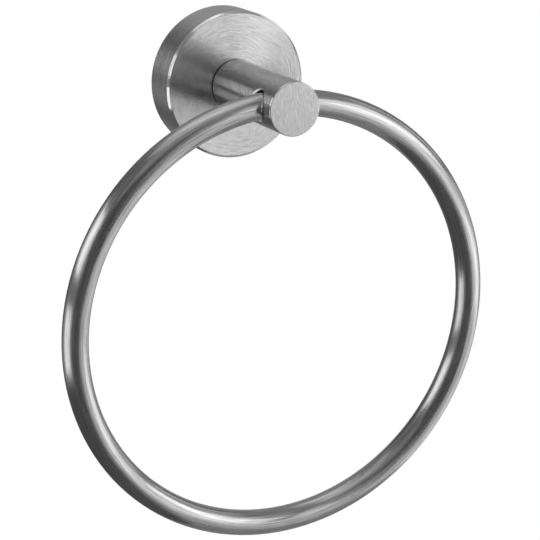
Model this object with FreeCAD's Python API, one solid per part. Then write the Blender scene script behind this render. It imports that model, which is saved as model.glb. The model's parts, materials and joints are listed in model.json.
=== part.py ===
import FreeCAD, Part
import math
import os

# Wall-hung towel ring in brushed stainless steel.
# The wall is the plane y = 0, the front of the object faces -Y, and Z is up.
# The origin is the centre of the wall plate's back, on the axis of the rose and the post.

# Driving dimensions in millimetres

# Ring: a closed circle of bent tube
ring_outside_diameter = 169.0
ring_tube_diameter = 9.5
ring_tube_wall = 1.0

# Post: a round bar with a cross hole that the ring hangs in
post_diameter = 19.5
post_projection = 64.0          # wall to the front end of the post
post_hole_setback = 10.7        # front end of the post to the axis of the cross hole
post_edge_round = 0.4
post_base_chamfer = 0.3
ring_play = 0.45                # radial play of the tube in the cross hole
hole_lip_round = 0.7
ring_seat_gap = 0.15            # left under the tube where the hole's straight wall ends

# Rose: the round cover at the wall
rose_diameter = 55.0
rose_depth = 15.5
rose_skirt_wall = 3.0
rose_front_wall = 2.5
rose_edge_chamfer = 0.85        # polished bevel at 45 degrees between the face and the side
rose_edge_break = 0.15          # small rounds on both sides of that bevel
rose_inner_round = 1.2
rose_rim_chamfer = 0.3

# Screw and spring washer that hold the post on the rose, size M6
post_screw_diameter = 6.0
post_screw_length = 16.0
post_screw_head_diameter = 10.5
post_screw_head_height = 3.3
post_screw_head_round = 2.4
post_screw_hex = 4.0            # across flats
post_screw_hex_depth = 2.1
post_screw_hole_play = 0.2      # radial play in the rose's centre hole
post_thread_spare = 3.0         # drilled depth past the end of the screw
washer_outside_diameter = 11.8
washer_thickness = 1.6
washer_bore_play = 0.1          # radial play on the screw
washer_split_width = 0.7
washer_split_lean = 20.0        # degrees between the split and the axis
drill_point_angle = 118.0

# Wall plate that the rose is locked on
plate_thickness = 5.0
plate_rose_gap = 0.4            # radial gap between the plate's rim and the skirt
plate_rim_land = 1.0            # straight part of the rim, at the front
plate_undercut_angle = 40.0     # degrees, the rim narrows towards the wall
plate_front_chamfer = 0.3
wall_screw_spacing = 28.0
wall_slot_width = 5.0
wall_slot_length = 9.0          # end to end, along X

# Grub screw in the underside of the rose, size M4 with a cone point
grub_diameter = 4.0
grub_length = 4.0
grub_height_from_wall = 3.2
grub_hex = 2.0                  # across flats
grub_hex_depth = 1.5
grub_point_angle = 90.0
grub_seat_gap = 0.05            # left between the cone point and the plate's rim

thread_play = 0.05              # radial, between a screw and its threaded hole

# Values worked out from the driving dimensions

ring_tube_radius = ring_tube_diameter / 2
ring_radius = ring_outside_diameter / 2 - ring_tube_radius
post_radius = post_diameter / 2
post_front_y = -post_projection
post_base_y = -rose_depth
hole_radius = ring_tube_radius + ring_play
hole_y = post_front_y + post_hole_setback

rose_radius = rose_diameter / 2
rose_inner_radius = rose_radius - rose_skirt_wall
rose_inner_y = -(rose_depth - rose_front_wall)

post_screw_radius = post_screw_diameter / 2
washer_seat_y = rose_inner_y
head_seat_y = washer_seat_y + washer_thickness
post_screw_end_y = head_seat_y - post_screw_length

plate_radius = rose_inner_radius - plate_rose_gap
plate_slope = math.tan(math.radians(plate_undercut_angle))
plate_back_radius = plate_radius - (plate_thickness - plate_rim_land) * plate_slope
grub_radius = grub_diameter / 2

# The ring hangs low in the hole. Its tube passes through on an arc, which drops and leans by
# this much where the straight wall of the hole ends, at the post's widest place.
lip_angle = math.asin((post_radius - hole_lip_round) / ring_radius)
arc_height = ring_radius * (1 - math.cos(lip_angle))
leaning_tube_height = ring_tube_radius / math.cos(lip_angle)
ring_top_z = arc_height + leaning_tube_height + ring_seat_gap - hole_radius
ring_centre_z = ring_top_z - ring_radius

origin = FreeCAD.Vector(0, 0, 0)
x_axis = FreeCAD.Vector(1, 0, 0)
y_axis = FreeCAD.Vector(0, 1, 0)
z_axis = FreeCAD.Vector(0, 0, 1)
towards_front = FreeCAD.Vector(0, -1, 0)
downwards = FreeCAD.Vector(0, 0, -1)


def rod(radius, start_y, end_y):
    """A round bar on the Y axis between two places, the second one nearer the front."""
    return Part.makeCylinder(radius, start_y - end_y, FreeCAD.Vector(0, start_y, 0), towards_front)


def turned_about_y(corners):
    """A turned solid from corners given as (radius, y)."""
    points = [FreeCAD.Vector(radius, y, 0) for radius, y in corners]
    outline = Part.makePolygon(points + points[:1])
    return Part.Face(outline).revolve(origin, y_axis, 360)


def round_edges(shape, centre_y, radius):
    """The full circular edges of a shape that lie at this place on the Y axis, with this radius."""
    return [
        edge
        for edge in shape.Edges
        if isinstance(edge.Curve, Part.Circle)
        and abs(edge.Curve.Center.y - centre_y) < 1e-6
        and abs(edge.Curve.Radius - radius) < 1e-6
    ]


def hexagon_pocket(across_flats, depth, mouth, direction):
    """A hexagon prism that sinks from its mouth along a direction at right angles to X."""
    to_corner = x_axis * (across_flats / math.sqrt(3))
    corners = []
    for corner in range(7):
        turn = FreeCAD.Rotation(direction, 60 * corner)
        corners.append(mouth + turn.multVec(to_corner))
    return Part.Face(Part.makePolygon(corners)).extrude(direction * depth)


def make_ring():
    """The closed ring of tube, hanging straight down from the post."""
    centre = FreeCAD.Vector(0, hole_y, ring_centre_z)
    outside = Part.makeTorus(ring_radius, ring_tube_radius, centre, y_axis)
    inside = Part.makeTorus(ring_radius, ring_tube_radius - ring_tube_wall, centre, y_axis)
    return outside.cut(inside)


def make_post():
    """The bar: cross hole with rounded lips near its front, blind threaded hole in its base."""
    bar = rod(post_radius, post_base_y, post_front_y)
    bar = bar.makeFillet(post_edge_round, round_edges(bar, post_front_y, post_radius))
    bar = bar.makeChamfer(post_base_chamfer, round_edges(bar, post_base_y, post_radius))
    hole_start = FreeCAD.Vector(-post_diameter, hole_y, 0)
    bar = bar.cut(Part.makeCylinder(hole_radius, 2 * post_diameter, hole_start, x_axis))
    lips = [edge for edge in bar.Edges if is_hole_mouth(edge)]
    bar = bar.makeFillet(hole_lip_round, lips)
    thread_radius = post_screw_radius + thread_play
    thread_end_y = post_screw_end_y - post_thread_spare
    point_depth = thread_radius / math.tan(math.radians(drill_point_angle / 2))
    drilling = turned_about_y([
        (0, post_base_y),
        (thread_radius, post_base_y),
        (thread_radius, thread_end_y),
        (0, thread_end_y - point_depth),
    ])
    return bar.cut(drilling)


def is_hole_mouth(edge):
    """True for the curved edges where the cross hole leaves the side of the post."""
    box = edge.BoundBox
    on_one_side = box.XMin * box.XMax > 0
    return on_one_side and box.YLength > hole_radius and box.ZLength > hole_radius


def make_rose():
    """The round cover: a cup open to the wall, with a centre hole and a grub screw hole."""
    outside = rod(rose_radius, 0, -rose_depth)
    outside = outside.makeChamfer(rose_edge_chamfer, round_edges(outside, -rose_depth, rose_radius))
    bevel_edges = round_edges(outside, -rose_depth, rose_radius - rose_edge_chamfer)
    bevel_edges += round_edges(outside, rose_edge_chamfer - rose_depth, rose_radius)
    outside = outside.makeFillet(rose_edge_break, bevel_edges)
    hollow = rod(rose_inner_radius, 0, rose_inner_y)
    hollow = hollow.makeFillet(rose_inner_round, round_edges(hollow, rose_inner_y, rose_inner_radius))
    cup = outside.cut(hollow)
    cup = cup.makeChamfer(rose_rim_chamfer, round_edges(cup, 0, rose_inner_radius))
    cup = cup.cut(rod(post_screw_radius + post_screw_hole_play, rose_inner_y, -rose_depth))
    grub_hole_start = FreeCAD.Vector(0, -grub_height_from_wall, 0)
    grub_hole = Part.makeCylinder(grub_radius + thread_play, rose_diameter, grub_hole_start, downwards)
    return cup.cut(grub_hole)


def make_post_screw():
    """Button head screw, put in from the hollow side of the rose."""
    shank = rod(post_screw_radius, head_seat_y, post_screw_end_y)
    head_radius = post_screw_head_diameter / 2
    head_top_y = head_seat_y + post_screw_head_height
    head = rod(head_radius, head_top_y, head_seat_y)
    head = head.makeFillet(post_screw_head_round, round_edges(head, head_top_y, head_radius))
    socket_mouth = FreeCAD.Vector(0, head_top_y, 0)
    socket = hexagon_pocket(post_screw_hex, post_screw_hex_depth, socket_mouth, towards_front)
    return shank.fuse(head).removeSplitter().cut(socket)


def make_post_washer():
    """Spring washer, drawn flat as it is when the screw is tight, with its leaning split."""
    outside = rod(washer_outside_diameter / 2, head_seat_y, washer_seat_y)
    bore = rod(post_screw_radius + washer_bore_play, head_seat_y, washer_seat_y)
    split = Part.makeBox(washer_split_width, 3 * washer_thickness, washer_outside_diameter)
    middle = FreeCAD.Vector(0, (washer_seat_y + head_seat_y) / 2, 0)
    split.translate(middle - FreeCAD.Vector(washer_split_width / 2, 1.5 * washer_thickness, 0))
    split.rotate(middle, z_axis, washer_split_lean)
    return outside.cut(bore).cut(split)


def make_wall_plate():
    """Round plate, narrower at the wall than at the front, with two level slots for wall screws."""
    land_y = -(plate_thickness - plate_rim_land)
    plate = turned_about_y([
        (0, 0),
        (plate_back_radius, 0),
        (plate_radius, land_y),
        (plate_radius, -plate_thickness + plate_front_chamfer),
        (plate_radius - plate_front_chamfer, -plate_thickness),
        (0, -plate_thickness),
    ])
    for side in (-1, 1):
        plate = plate.cut(wall_slot(side * wall_screw_spacing / 2))
    return plate


def wall_slot(centre_x):
    """The material cut away for one slot: two round ends and the straight between them."""
    end_radius = wall_slot_width / 2
    half_straight = wall_slot_length / 2 - end_radius
    corner = FreeCAD.Vector(centre_x - half_straight, -plate_thickness, -end_radius)
    cutter = Part.makeBox(2 * half_straight, plate_thickness, wall_slot_width, corner)
    for end_x in (centre_x - half_straight, centre_x + half_straight):
        end = FreeCAD.Vector(end_x, 0, 0)
        cutter = cutter.fuse(Part.makeCylinder(end_radius, plate_thickness, end, towards_front))
    return cutter.removeSplitter()


def make_grub_screw():
    """Headless screw whose cone point presses on the plate's sloping rim, below the plate."""
    land_height = plate_thickness - plate_rim_land
    rim_radius_at_point = plate_radius - (land_height - grub_height_from_wall) * plate_slope
    point_z = -(rim_radius_at_point + grub_seat_gap)
    point_length = grub_radius / math.tan(math.radians(grub_point_angle / 2))
    point_base = FreeCAD.Vector(0, -grub_height_from_wall, point_z - point_length)
    point = Part.makeCone(grub_radius, 0, point_length, point_base, z_axis)
    body = Part.makeCylinder(grub_radius, grub_length - point_length, point_base, downwards)
    socket_mouth = FreeCAD.Vector(0, -grub_height_from_wall, point_z - grub_length)
    socket = hexagon_pocket(grub_hex, grub_hex_depth, socket_mouth, z_axis)
    return body.fuse(point).removeSplitter().cut(socket)


parts = {
    "ring": make_ring(),
    "post": make_post(),
    "rose": make_rose(),
    "post_screw": make_post_screw(),
    "post_washer": make_post_washer(),
    "wall_plate": make_wall_plate(),
    "grub_screw": make_grub_screw(),
}

os.makedirs("parts", exist_ok=True)
for name, shape in parts.items():
    solid = shape.Solids[0] if len(shape.Solids) == 1 else shape
    solid.exportStep(os.path.join("parts", name + ".step"))
    print(name, "solids", len(shape.Solids), "valid", shape.isValid(), "volume", round(shape.Volume, 1))
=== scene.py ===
import json
import math
from typing import NamedTuple

import bpy
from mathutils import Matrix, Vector


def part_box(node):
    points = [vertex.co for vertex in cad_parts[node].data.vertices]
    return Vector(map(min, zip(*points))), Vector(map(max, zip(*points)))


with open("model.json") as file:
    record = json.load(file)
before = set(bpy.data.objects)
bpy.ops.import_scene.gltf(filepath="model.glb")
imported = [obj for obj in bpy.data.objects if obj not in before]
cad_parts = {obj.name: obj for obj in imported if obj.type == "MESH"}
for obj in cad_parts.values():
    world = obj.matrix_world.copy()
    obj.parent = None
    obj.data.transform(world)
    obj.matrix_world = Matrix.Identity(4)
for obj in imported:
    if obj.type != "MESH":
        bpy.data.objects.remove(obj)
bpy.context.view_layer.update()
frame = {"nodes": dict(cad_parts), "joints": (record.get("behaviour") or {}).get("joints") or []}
nodes = frame["nodes"]

# Sizes read from the frame, in metres

ring_low, ring_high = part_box("ring")
post_low, post_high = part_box("post")
rose_low, rose_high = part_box("rose")
swing = next(joint for joint in frame["joints"] if joint["name"] == "ring_swing")

ring_tube_radius = (ring_high.y - ring_low.y) / 2
ring_centre = (ring_low + ring_high) / 2
ring_radius = (ring_high.x - ring_low.x) / 2 - ring_tube_radius
post_front_y = post_low.y
post_base_y = post_high.y
hole_y = swing["pos_m"][1]
rose_radius = (rose_high.x - rose_low.x) / 2
rose_front_y = rose_low.y

# Edges as the part's source makes them, in metres

hole_lip_radius = 0.0059        # the cross hole with its rounded lips, along the post
hole_lip_height = 0.00625       # the same, across the post
post_edge_round = 0.0004
post_base_chamfer = 0.0003
rose_bevel = 0.0009             # the bevel with the small rounds beside it

# Where the finish changes at those edges, in metres

bevel_start_radius = rose_radius - 0.7 * rose_bevel
bevel_polished_radius = rose_radius - 0.6 * rose_bevel
bevel_polished_y = rose_front_y + rose_bevel
bevel_end_y = rose_front_y + 1.05 * rose_bevel
end_face_y = post_front_y + 0.1 * post_edge_round
edge_polished_y = post_front_y + post_edge_round
edge_end_y = post_front_y + 1.05 * post_edge_round
# Where the painted shade in the groove at the post's base begins, and where it is full
groove_shade_start_y = post_base_y - 2.3 * post_base_chamfer
groove_shade_full_y = post_base_y - 1.9 * post_base_chamfer
lips_polished = 0.98            # as a share of the size of the lips

# Grain of the ring and of the end of the post: width and length of its marks, in metres

ring_lines = (0.0004, 0.01)
ring_scratches = (0.001, 0.03)
ring_clouds = (0.005, 0.012)
end_lines = (0.0003, 0.003)
end_scratches = (0.001, 0.01)

# Grain that runs round the Y axis: width of its marks in metres and length in radians

turned_hairs = (0.00012, 0.3)
turned_lines = (0.00035, 0.15)
turned_scratches = (0.001, 0.5)
turned_clouds = (0.005, 0.6)
turned_marks = (turned_lines, turned_scratches, turned_clouds)

# Settings that the steels share

noise_detail = 2.0
noise_roughness = 0.55
scratch_depth = 0.6             # where the depth of the fine lines is 1
flat_height = 0.5               # the middle of a pattern from 0 to 1
ring_anisotropy = 0.75
turned_anisotropy = 1.0
quarter_turn = 0.25             # turns the blur from along the grain to across it


class Finish(NamedTuple):
    """A brushed steel. Each pattern moves grey or roughness up and down by its own amount."""
    grey: float
    grey_by_lines: float
    grey_by_scratches: float
    roughness: float
    roughness_by_clouds: float
    roughness_by_scratches: float
    bump_strength: float
    bump_depth: float           # in metres


ring_finish = Finish(
    grey=0.51, grey_by_lines=0.25, grey_by_scratches=0.13,
    roughness=0.22, roughness_by_clouds=0.03, roughness_by_scratches=0.02,
    bump_strength=1.0, bump_depth=0.00002)
post_finish = Finish(
    grey=0.64, grey_by_lines=0.25, grey_by_scratches=0.04,
    roughness=0.26, roughness_by_clouds=0.03, roughness_by_scratches=0.02,
    bump_strength=1.0, bump_depth=0.00003)
rose_finish = Finish(
    grey=0.7, grey_by_lines=0.18, grey_by_scratches=0.04,
    roughness=0.2, roughness_by_clouds=0.03, roughness_by_scratches=0.02,
    bump_strength=1.0, bump_depth=0.00005)
hidden_finish = Finish(
    grey=0.53, grey_by_lines=0.04, grey_by_scratches=0.03,
    roughness=0.35, roughness_by_clouds=0.05, roughness_by_scratches=0.03,
    bump_strength=0.2, bump_depth=0.00003)

# Grey and roughness of the places that aren't brushed

bevel_grey = 0.88
bevel_roughness = 0.08
edge_grey = 0.8
edge_roughness = 0.12
# Painted shade: the groove where the post meets the rose is coloured near black to stand for the
# shadow in it
groove_shade_grey = 0.02
groove_roughness = 0.6
end_face_lift = 0.06            # by how much the end of the post is paler than its side

# Camera, fitted to the outlines of the photograph

camera_azimuth = math.radians(-25.9)
camera_elevation = math.radians(16.72)
camera_distance = 0.6872
camera_target = Vector((-0.00445, hole_y, -0.06069))
camera_reach = (0.01, 100.0)    # from the nearest to the farthest that it sees
sensor_width = 36.0             # in millimetres
focal_length_px = 1901.0
frame_width_px = 540.0

# Floor, lamp and light tent: places in metres from the origin, and levels of light

floor_height = -1.3
floor_size = 60.0
floor_grey = 0.4
world_level = 0.6
lamp_level = 0.4
lamp_tilt = math.radians(20)
lamp_spread = math.radians(40)
tent_centre = Vector((0.0, hole_y, -0.06))
tent_radius = 1.1
tent_step = 3                   # about how many degrees lie between the points of a card

# How bright the cards of the tent are, where 1 is the white of the background

black = 0.0
dark = 0.1
dusk = 0.2
dim = 0.3
soft = 0.4
half = 0.65
white = 1.0
lit = 1.4
bright = 1.7
brightest = 2.1

# How far away a card is, as a share of the tent's radius. A nearer card hides a farther one.

farthest = 1.05
far = 1.0
near = 0.99
nearest = 0.985

# Name, longitudes and latitudes in degrees, brightness and distance of each card

tent_cards = (
    ("shell", (-180, 180), (-90, 90), dim, farthest),
    ("left_upper_box", (-122, -76), (9, 33), bright, far),
    ("left_upper_front", (-76, -60), (5, 31), half, far),
    ("left_upper_back", (-140, -122), (5, 31), half, far),
    ("left_gap", (-150, -60), (-3, 8), dusk, far),
    ("left_lower_box", (-120, -76), (-26, -3), lit, far),
    ("left_lower_front", (-76, -60), (-28, -3), dusk, far),
    ("left_lower_back", (-140, -120), (-26, -3), soft, far),
    ("left_high", (-150, -54), (33, 58), dusk, far),
    ("front", (-60, 4), (-30, 31), dark, far),
    ("front_right_dark", (4, 24), (-17, -8), black, far),
    ("front_right_upper", (4, 17), (-8, 34), dim, far),
    ("edge_patch_left", (17, 24), (-8, 20), lit, far),
    ("edge_high_left", (17, 24), (20, 40), white, far),
    ("edge_patch", (24, 34), (-8, 5), bright, far),
    ("right_box_left", (24, 34), (5, 36), lit, far),
    ("right_box", (34, 70), (-8, 5), white, far),
    ("right_box_middle", (34, 70), (5, 20), brightest, far),
    ("right_box_upper", (34, 70), (20, 36), lit, far),
    ("right_box_under", (24, 70), (-17, -8), lit, far),
    ("high_right", (40, 80), (36, 60), dim, far),
    ("right_low", (14, 56), (-45, -17), half, far),
    ("right_low_side", (56, 104), (-46, -18), white, far),
    ("right_low_back", (104, 128), (-46, -20), half, far),
    ("right_side_lower", (70, 104), (-20, 5), half, far),
    ("right_side_upper_back", (100, 128), (5, 36), dark, far),
    ("back", (128, 180), (-20, 20), soft, far),
    ("high_left_top", (-120, 30), (60, 76), half, far),
    ("top", (-180, 180), (76, 90), white, far),
    ("back_left", (-180, -140), (-90, 31), dark, far),
    ("back_top", (120, 240), (60, 76), white, far),
    ("low_left", (-140, 4), (-90, -29), dark, far),
    ("strip_upper", (22.5, 29), (5, 60), black, near),
    ("strip_middle", (23, 28), (-13, 2), soft, near),
    ("strip_lower", (23, 28.5), (-45, -21), half, near),
    ("right_band", (48, 84), (-20, -6), bright, near),
    ("bevel_lower", (-74, -66), (-27, -4), white, nearest),
    ("bevel_right", (95, 106), (10, 44), white, nearest),
)

# The Mix node's sockets that carry vectors. They share their names with its other sockets.

mix_first = 4
mix_second = 5
mix_result = 1


class NodeTree:
    """Short calls that add shader nodes to one material or world."""

    def __init__(self, owner):
        owner.use_nodes = True
        self.tree = owner.node_tree
        self.tree.nodes.clear()

    def add(self, kind, **settings):
        node = self.tree.nodes.new(kind)
        for name, value in settings.items():
            setattr(node, name, value)
        return node

    def put(self, socket, value):
        """Links a socket to another node's output, or sets its own value."""
        if isinstance(value, bpy.types.NodeSocket):
            self.tree.links.new(value, socket)
        else:
            socket.default_value = value

    def math(self, operation, first, second=0.0, third=0.0):
        node = self.add("ShaderNodeMath", operation=operation)
        for socket, value in zip(node.inputs, (first, second, third)):
            self.put(socket, value)
        return node.outputs[0]

    def position(self):
        """X, Y and Z of a point in the part's own frame, which moves with its body."""
        coordinates = self.add("ShaderNodeTexCoord")
        split = self.add("ShaderNodeSeparateXYZ")
        self.put(split.inputs[0], coordinates.outputs["Object"])
        return split.outputs

    def length(self, x, y):
        squares = self.math("MULTIPLY", x, x)
        return self.math("SQRT", self.math("MULTIPLY_ADD", y, y, squares))

    def between(self, value, low, high):
        """Goes from 0 to 1 as value goes from low to high, and stays there."""
        node = self.add("ShaderNodeMapRange", clamp=True)
        for name, setting in (("Value", value), ("From Min", low), ("From Max", high)):
            self.put(node.inputs[name], setting)
        return node.outputs[0]

    def vary(self, middle, *patterns):
        """Moves a value up and down by patterns from 0 to 1, each given with its own amount."""
        level = middle
        for pattern, amount in patterns:
            node = self.add("ShaderNodeMapRange", clamp=False)
            for name, setting in (("Value", pattern), ("To Min", -amount), ("To Max", amount)):
                self.put(node.inputs[name], setting)
            level = self.math("ADD", level, node.outputs[0])
        return level

    def mix(self, share, first, second):
        node = self.add("ShaderNodeMix", data_type="FLOAT")
        for name, value in (("Factor", share), ("A", first), ("B", second)):
            self.put(node.inputs[name], value)
        return node.outputs["Result"]

    def mix_vectors(self, share, first, second):
        node = self.add("ShaderNodeMix", data_type="VECTOR")
        for name, value in (("Factor", share), (mix_first, first), (mix_second, second)):
            self.put(node.inputs[name], value)
        return node.outputs[mix_result]

    def noise(self, x, y, z, w):
        vector = self.add("ShaderNodeCombineXYZ")
        for socket, value in zip(vector.inputs, (x, y, z)):
            self.put(socket, value)
        node = self.add("ShaderNodeTexNoise", noise_dimensions="4D")
        self.put(node.inputs["Vector"], vector.outputs[0])
        self.put(node.inputs["W"], w)
        self.put(node.inputs["Scale"], 1.0)
        self.put(node.inputs["Detail"], noise_detail)
        self.put(node.inputs["Roughness"], noise_roughness)
        return node.outputs[0]

    def seen_directly(self):
        """1 for what the camera sees, also in a mirror or through glass, and 0 for other rays."""
        path = self.add("ShaderNodeLightPath").outputs
        first = self.math("MAXIMUM", path["Is Camera Ray"], path["Is Glossy Ray"])
        return self.math("MAXIMUM", first, path["Is Transmission Ray"])

    def finish(self, kind, shader):
        output = self.add(kind)
        self.put(output.inputs["Surface"], shader)


def streaks(kit, across, along, marks):
    """Grain lines: noise that changes quickly across them and slowly along them."""
    width, length = marks
    x, y = (kit.math("DIVIDE", value, width) for value in across)
    z, w = (kit.math("DIVIDE", value, length) for value in along)
    return kit.noise(x, y, z, w)


def turned_streaks(kit, from_axis, x, y, z, all_marks):
    """Grain that runs round the Y axis, as one pattern for each kind of mark."""
    along = [kit.math("DIVIDE", side, from_axis) for side in (x, z)]
    return [streaks(kit, (from_axis, y), along, marks) for marks in all_marks]


def round_tangent(kit, shader, anisotropy):
    """Tangent of grain that runs round the Y axis, which blurs at right angles to itself."""
    shader.inputs["Anisotropic"].default_value = anisotropy
    shader.inputs["Anisotropic Rotation"].default_value = quarter_turn
    return kit.add("ShaderNodeTangent", direction_type="RADIAL", axis="Y").outputs[0]


def brushed(kit, finish, lines, scratches, clouds):
    """Grey and roughness of a brushed surface."""
    grey = kit.vary(
        finish.grey,
        (lines, finish.grey_by_lines),
        (scratches, finish.grey_by_scratches))
    roughness = kit.vary(
        finish.roughness,
        (clouds, finish.roughness_by_clouds),
        (scratches, finish.roughness_by_scratches))
    return grey, roughness


def brushed_height(kit, lines, scratches):
    """Height of the grain, which the bump follows."""
    return kit.math("MULTIPLY_ADD", scratches, scratch_depth, lines)


def ring_surface(kit, shader, finish):
    """Brushed along the tube: fine lines, longer scratches and faint cloudy marks."""
    kit.put(shader.inputs["Tangent"], round_tangent(kit, shader, ring_anisotropy))
    x, y, z = kit.position()
    side_x = kit.math("SUBTRACT", x, ring_centre.x)
    side_z = kit.math("SUBTRACT", z, ring_centre.z)
    from_centre = kit.length(side_x, side_z)
    outward = kit.math("SUBTRACT", from_centre, ring_radius)
    forward = kit.math("SUBTRACT", y, ring_centre.y)
    along_x = kit.math("MULTIPLY", kit.math("DIVIDE", side_x, from_centre), ring_radius)
    along_z = kit.math("MULTIPLY", kit.math("DIVIDE", side_z, from_centre), ring_radius)
    across = (outward, forward)
    along = (along_x, along_z)
    lines = streaks(kit, across, along, ring_lines)
    scratches = streaks(kit, across, along, ring_scratches)
    clouds = streaks(kit, across, along, ring_clouds)
    grey, roughness = brushed(kit, finish, lines, scratches, clouds)
    return grey, roughness, brushed_height(kit, lines, scratches)


def rose_surface(kit, shader, finish):
    """Brushed in circles, with a polished bevel at the front edge."""
    kit.put(shader.inputs["Tangent"], round_tangent(kit, shader, turned_anisotropy))
    x, y, z = kit.position()
    from_axis = kit.length(x, z)
    hairs, lines, scratches, clouds = turned_streaks(
        kit, from_axis, x, y, z, (turned_hairs,) + turned_marks)
    past_face = kit.between(from_axis, bevel_start_radius, bevel_polished_radius)
    before_side = kit.between(y, bevel_end_y, bevel_polished_y)
    polished = kit.math("MULTIPLY", past_face, before_side)
    grey, roughness = brushed(kit, finish, lines, scratches, clouds)
    grey = kit.mix(polished, grey, bevel_grey)
    roughness = kit.mix(polished, roughness, bevel_roughness)
    height = kit.mix(polished, kit.math("ADD", hairs, lines), flat_height)
    return grey, roughness, height


def post_tangent(kit, shader, on_end):
    """Grain that runs round the post's side, and up and down on its end."""
    upright = kit.add("ShaderNodeVectorTransform", vector_type="VECTOR",
                      convert_from="OBJECT", convert_to="WORLD")
    upright.inputs[0].default_value = (0.0, 0.0, 1.0)
    turned = round_tangent(kit, shader, turned_anisotropy)
    return kit.mix_vectors(on_end, turned, upright.outputs[0])


def post_surface(kit, shader, finish):
    """Turned side, straight upright grain on the end, polished lips and front edge, and painted
    shade in the groove at the base.
    """
    x, y, z = kit.position()
    from_axis = kit.length(x, z)
    on_end = kit.math("LESS_THAN", y, end_face_y)
    off_end = kit.math("GREATER_THAN", y, end_face_y)
    kit.put(shader.inputs["Tangent"], post_tangent(kit, shader, on_end))
    side_lines, side_scratches, clouds = turned_streaks(kit, from_axis, x, y, z, turned_marks)
    lines = kit.mix(on_end, side_lines, streaks(kit, (x, x), (z, z), end_lines))
    scratches = kit.mix(on_end, side_scratches, streaks(kit, (x, x), (z, z), end_scratches))
    grey, roughness = brushed(kit, finish, lines, scratches, clouds)
    grey = kit.math("MULTIPLY_ADD", on_end, end_face_lift, grey)

    from_hole_y = kit.math("DIVIDE", kit.math("SUBTRACT", y, hole_y), hole_lip_radius)
    from_hole_z = kit.math("DIVIDE", z, hole_lip_height)
    lips = kit.between(kit.length(from_hole_y, from_hole_z), 1.0, lips_polished)
    edge = kit.math("MULTIPLY", off_end, kit.between(y, edge_end_y, edge_polished_y))
    polished = kit.math("MAXIMUM", edge, lips)
    # Painted shade: near black in the groove at the base, where the post meets the rose
    groove_shade = kit.between(y, groove_shade_start_y, groove_shade_full_y)
    grey = kit.mix(groove_shade, kit.mix(polished, grey, edge_grey), groove_shade_grey)
    roughness = kit.mix(groove_shade, kit.mix(polished, roughness, edge_roughness), groove_roughness)
    return grey, roughness, brushed_height(kit, lines, scratches)


def machined_surface(kit, shader, finish):
    """Plain turned steel of the hidden pieces, which blurs the same in every direction."""
    x, y, z = kit.position()
    from_axis = kit.length(x, z)
    lines, scratches, clouds = turned_streaks(kit, from_axis, x, y, z, turned_marks)
    grey, roughness = brushed(kit, finish, lines, scratches, clouds)
    return grey, roughness, brushed_height(kit, lines, scratches)


def steel(name, node_name, finish, draw_surface):
    """A new steel material on one CAD node. draw_surface gives its grey, roughness and height."""
    material = bpy.data.materials.new(name)
    kit = NodeTree(material)
    shader = kit.add("ShaderNodeBsdfPrincipled")
    shader.inputs["Metallic"].default_value = 1.0
    grey, roughness, height = draw_surface(kit, shader, finish)
    colour = kit.add("ShaderNodeCombineColor")
    for channel in colour.inputs:
        kit.put(channel, grey)
    kit.put(shader.inputs["Base Color"], colour.outputs[0])
    kit.put(shader.inputs["Roughness"], roughness)
    bump = kit.add("ShaderNodeBump")
    bump.inputs["Strength"].default_value = finish.bump_strength
    bump.inputs["Distance"].default_value = finish.bump_depth
    kit.put(bump.inputs["Height"], height)
    kit.put(shader.inputs["Normal"], bump.outputs[0])
    kit.finish("ShaderNodeOutputMaterial", shader.outputs[0])
    for slot in nodes[node_name].material_slots:
        slot.material = material


def direction(longitude, latitude):
    """A unit vector. Longitude 0 is the front, a quarter turn is +X, and latitude goes up."""
    level = math.cos(latitude)
    return Vector((math.sin(longitude) * level, -math.cos(longitude) * level, math.sin(latitude)))


def card_angles(limits):
    """Even steps between two limits in degrees, as radians."""
    first, last = limits
    steps = max(2, round((last - first) / tent_step))
    return [math.radians(first + (last - first) * step / steps) for step in range(steps + 1)]


def mesh_object(name, points, faces):
    """A new object of the studio, put in the scene."""
    mesh = bpy.data.meshes.new(name)
    mesh.from_pydata(points, [], faces)
    sheet = bpy.data.objects.new(name, mesh)
    bpy.context.scene.collection.objects.link(sheet)
    return sheet


def tent_card(name, longitudes, latitudes, brightness, radius):
    """A curved card of the light tent, seen only in reflections."""
    columns = card_angles(longitudes)
    rows = card_angles(latitudes)
    points = [tent_centre + radius * direction(column, row) for row in rows for column in columns]
    faces = []
    for row in range(len(rows) - 1):
        for column in range(len(columns) - 1):
            first = row * len(columns) + column
            above = first + len(columns)
            faces.append((first, first + 1, above + 1, above))
    card = mesh_object(name, points, faces)
    material = bpy.data.materials.new(name)
    kit = NodeTree(material)
    glow = kit.add("ShaderNodeEmission")
    glow.inputs["Strength"].default_value = brightness
    kit.finish("ShaderNodeOutputMaterial", glow.outputs[0])
    material.cycles.emission_sampling = "NONE"
    card.data.materials.append(material)
    for other_ray in ("camera", "diffuse", "transmission", "volume_scatter", "shadow"):
        setattr(card, "visible_" + other_ray, False)


def make_world():
    """White for the camera and in reflections, and plain light for everything else."""
    world = bpy.data.worlds.new("studio")
    bpy.context.scene.world = world
    kit = NodeTree(world)
    background = kit.add("ShaderNodeBackground")
    background.inputs["Color"].default_value = (1.0, 1.0, 1.0, 1.0)
    level = kit.math("MULTIPLY_ADD", kit.seen_directly(), 1.0 - world_level, world_level)
    kit.put(background.inputs["Strength"], level)
    kit.finish("ShaderNodeOutputWorld", background.outputs[0])
    world.cycles.sampling_method = "NONE"


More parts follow.
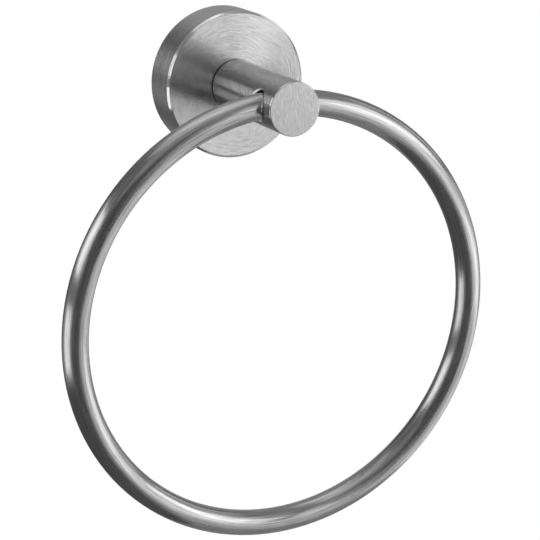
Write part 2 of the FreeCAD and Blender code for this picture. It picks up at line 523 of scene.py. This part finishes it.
def make_floor():
    """A pale floor that shows white to the camera where nothing shades it."""
    half_size = floor_size / 2
    signs = ((-1, -1), (1, -1), (1, 1), (-1, 1))
    corners = [(x * half_size, y * half_size, floor_height) for x, y in signs]
    floor = mesh_object("floor", corners, [(0, 1, 2, 3)])
    material = bpy.data.materials.new("floor")
    kit = NodeTree(material)
    matt = kit.add("ShaderNodeBsdfDiffuse")
    matt.inputs["Color"].default_value = (floor_grey, floor_grey, floor_grey, 1.0)
    glow = kit.add("ShaderNodeEmission")
    kit.put(glow.inputs["Strength"], kit.math("MULTIPLY", kit.seen_directly(), 1.0 - floor_grey))
    both = kit.add("ShaderNodeAddShader")
    kit.put(both.inputs[0], matt.outputs[0])
    kit.put(both.inputs[1], glow.outputs[0])
    kit.finish("ShaderNodeOutputMaterial", both.outputs[0])
    material.cycles.emission_sampling = "NONE"
    floor.data.materials.append(material)


def make_lamp():
    """One broad soft lamp high in front, which casts the shadow on the floor."""
    data = bpy.data.lights.new("lamp", "SUN")
    data.angle = lamp_spread
    data.energy = lamp_level * math.pi / math.cos(lamp_tilt)
    lamp = bpy.data.objects.new("lamp", data)
    bpy.context.scene.collection.objects.link(lamp)
    lamp.rotation_euler = (lamp_tilt, 0.0, 0.0)
    lamp.visible_glossy = False


def make_camera():
    """The photograph's point of view."""
    back = direction(camera_azimuth, camera_elevation)
    data = bpy.data.cameras.new("camera")
    data.sensor_width = sensor_width
    data.lens = sensor_width * focal_length_px / frame_width_px
    data.clip_start, data.clip_end = camera_reach
    camera = bpy.data.objects.new("camera", data)
    bpy.context.scene.collection.objects.link(camera)
    camera.location = camera_target + camera_distance * back
    camera.rotation_mode = "QUATERNION"
    camera.rotation_quaternion = (-back).to_track_quat("-Z", "Y")
    bpy.context.scene.camera = camera


steel("ring_steel", "ring", ring_finish, ring_surface)
steel("post_steel", "post", post_finish, post_surface)
steel("rose_steel", "rose", rose_finish, rose_surface)
for hidden in ("post_screw", "post_washer", "wall_plate", "grub_screw"):
    steel(hidden + "_steel", hidden, hidden_finish, machined_surface)

for card_name, longitudes, latitudes, brightness, share in tent_cards:
    tent_card(card_name, longitudes, latitudes, brightness, share * tent_radius)

make_world()
make_floor()
make_lamp()
make_camera()
bpy.context.scene.view_settings.view_transform = "Standard"
